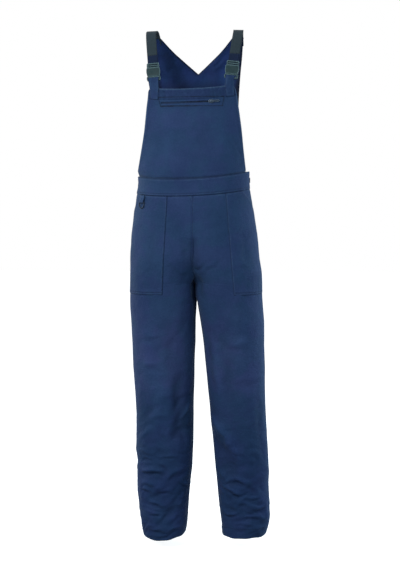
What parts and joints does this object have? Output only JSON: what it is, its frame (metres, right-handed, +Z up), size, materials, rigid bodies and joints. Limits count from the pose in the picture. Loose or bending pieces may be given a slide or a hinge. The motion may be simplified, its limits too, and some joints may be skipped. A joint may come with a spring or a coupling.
{
  "type": "gabardine dungarees",
  "caption": "Navy gabardine work dungarees with elastic braces on side-release buckles, a zipped bib pocket and slanted hip pockets, filled out as if worn",
  "frame": {"origin": "on the wearer's shoulders, midway between the undersides of the two straps", "axes": "+Z up the standing wearer, -Y the way the bib faces, +X to the viewer's right when the front is seen"},
  "size_m": [0.4126, 0.2589, 1.4799],
  "materials": {
    "gabardine": "fine steep twill, dull sheen",
    "zip_cloth": "plain weave",
    "webbing": "ribbed elastic",
    "buckle_plastic": "moulded, slightly grained",
    "ring_plastic": "moulded",
    "button_plastic": "moulded",
    "zip_metal": "worn nickel plate"
  },
  "bodies": {
    "garment": {"bib": "gabardine", "back_panel": "gabardine", "waistband_front": "gabardine", "waistband_back": "gabardine", "front_leg_left": "gabardine", "front_leg_right": "gabardine", "back_leg_left": "gabardine", "back_leg_right": "gabardine", "hip_pocket_left": "gabardine", "hip_pocket_right": "gabardine", "strap_end_left": "gabardine", "strap_end_right": "gabardine", "strap_tab_left": "gabardine", "strap_tab_right": "gabardine", "ring_tab": "gabardine", "zip_tape": "zip_cloth", "zip_pocket_bag": "zip_cloth", "webbing_left": "webbing", "webbing_right": "webbing", "buckle_socket_left": "buckle_plastic", "buckle_socket_right": "buckle_plastic", "buckle_plug_left": "buckle_plastic", "buckle_plug_right": "buckle_plastic", "side_button_left": "button_plastic", "side_button_right": "button_plastic", "zip_slider": "zip_metal"},
    "pull_tab": {"zip_pull": "zip_metal"},
    "ring": {"d_ring": "ring_plastic"}
  },
  "joints": [
    {"name": "pull_hinge", "type": "hinge", "parent": "garment", "child": "pull_tab", "pos_m": [0.05491, -0.1151, -0.20532], "axis": [0.0648, -0.0042, -0.9979], "range_deg": [0, 170]},
    {"name": "ring_hinge", "type": "hinge", "parent": "garment", "child": "ring", "pos_m": [-0.14766, -0.07876, -0.49025], "axis": [-0.7005, 0.7111, 0.0603], "range_deg": [0, 140]}
  ]
}
